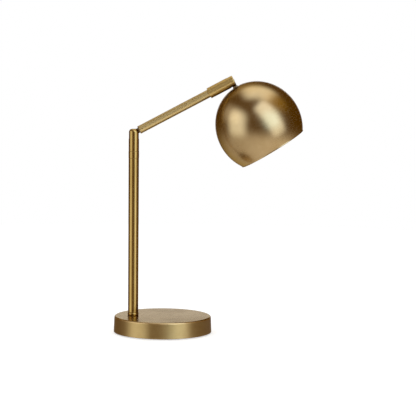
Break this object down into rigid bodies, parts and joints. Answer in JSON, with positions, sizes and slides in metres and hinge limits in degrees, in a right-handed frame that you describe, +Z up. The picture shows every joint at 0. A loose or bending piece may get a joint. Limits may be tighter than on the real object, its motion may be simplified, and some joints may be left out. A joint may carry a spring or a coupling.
{
  "type": "desk lamp",
  "caption": "Desk lamp with a weighted disc base, an upright pole with a turning head, a straight tilting arm and a tilting dome shade.",
  "frame": {"origin": "centre of the round base's underside, on the surface that the lamp stands on", "axes": "+Z up along the pole; +X from the pole's side of the base towards the shade, in the plane of the arm; +Y to the back, where the cord gland is"},
  "size_m": [0.2916, 0.1524, 0.4004],
  "materials": {
    "brass_cover": "satin antique plating, finely brushed",
    "brass_tube": "satin antique plating",
    "brass_turned": "satin antique plating, turned",
    "brass_tongue": "dark antique plating",
    "brass_shade": "satin antique plating, spun",
    "brass_contact": "bare",
    "screw": "antique plating",
    "zinc_steel": "zinc plated",
    "spring_steel": "plain",
    "iron_weight": "rough cast",
    "foot_pad": "matt foam",
    "gland": "satin",
    "fibre": "matt",
    "porcelain": "glazed white",
    "cap_metal": "bright",
    "opal_glass": "opal white"
  },
  "bodies": {
    "base": {"base_cover": "brass_cover", "base_weight": "iron_weight", "base_pad": "foot_pad", "cord_gland": "gland", "base_rod": "zinc_steel", "base_washer": "zinc_steel", "base_nut": "zinc_steel", "foot_bush": "brass_turned", "pole_tube": "brass_tube", "swivel_collar": "brass_turned"},
    "head": {"lower_knuckle": "brass_turned", "swivel_bolt": "zinc_steel", "swivel_spring": "spring_steel", "swivel_nut": "zinc_steel", "stop_pin": "zinc_steel", "arm_screw": "screw"},
    "arm": {"arm_tongue": "brass_tongue", "arm_friction_front": "fibre", "arm_friction_back": "fibre", "arm_tube": "brass_tube", "shade_knuckle": "brass_turned", "shade_screw": "screw"},
    "shade": {"shade_stem": "brass_tongue", "shade_friction_front": "fibre", "shade_friction_back": "fibre", "dome_shade": "brass_shade", "crown_washer": "zinc_steel", "crown_nut": "zinc_steel", "lampholder": "porcelain", "contact_sleeve": "brass_contact", "centre_contact": "brass_contact", "bulb_cap": "cap_metal", "bulb_glass": "opal_glass"}
  },
  "joints": [
    {"name": "head_swivel", "type": "hinge", "parent": "base", "child": "head", "pos_m": [-0.0461, 0, 0.2829], "axis": [0, 0, 1], "range_deg": [-164, 164]},
    {"name": "arm_tilt", "type": "hinge", "parent": "head", "child": "arm", "pos_m": [-0.0461, 0, 0.3113], "axis": [0, -1, 0], "range_deg": [-34, 61.85]},
    {"name": "shade_tilt", "type": "hinge", "parent": "arm", "child": "shade", "pos_m": [0.10458, 0, 0.39193], "axis": [0, -1, 0], "range_deg": [-14, 85]}
  ]
}
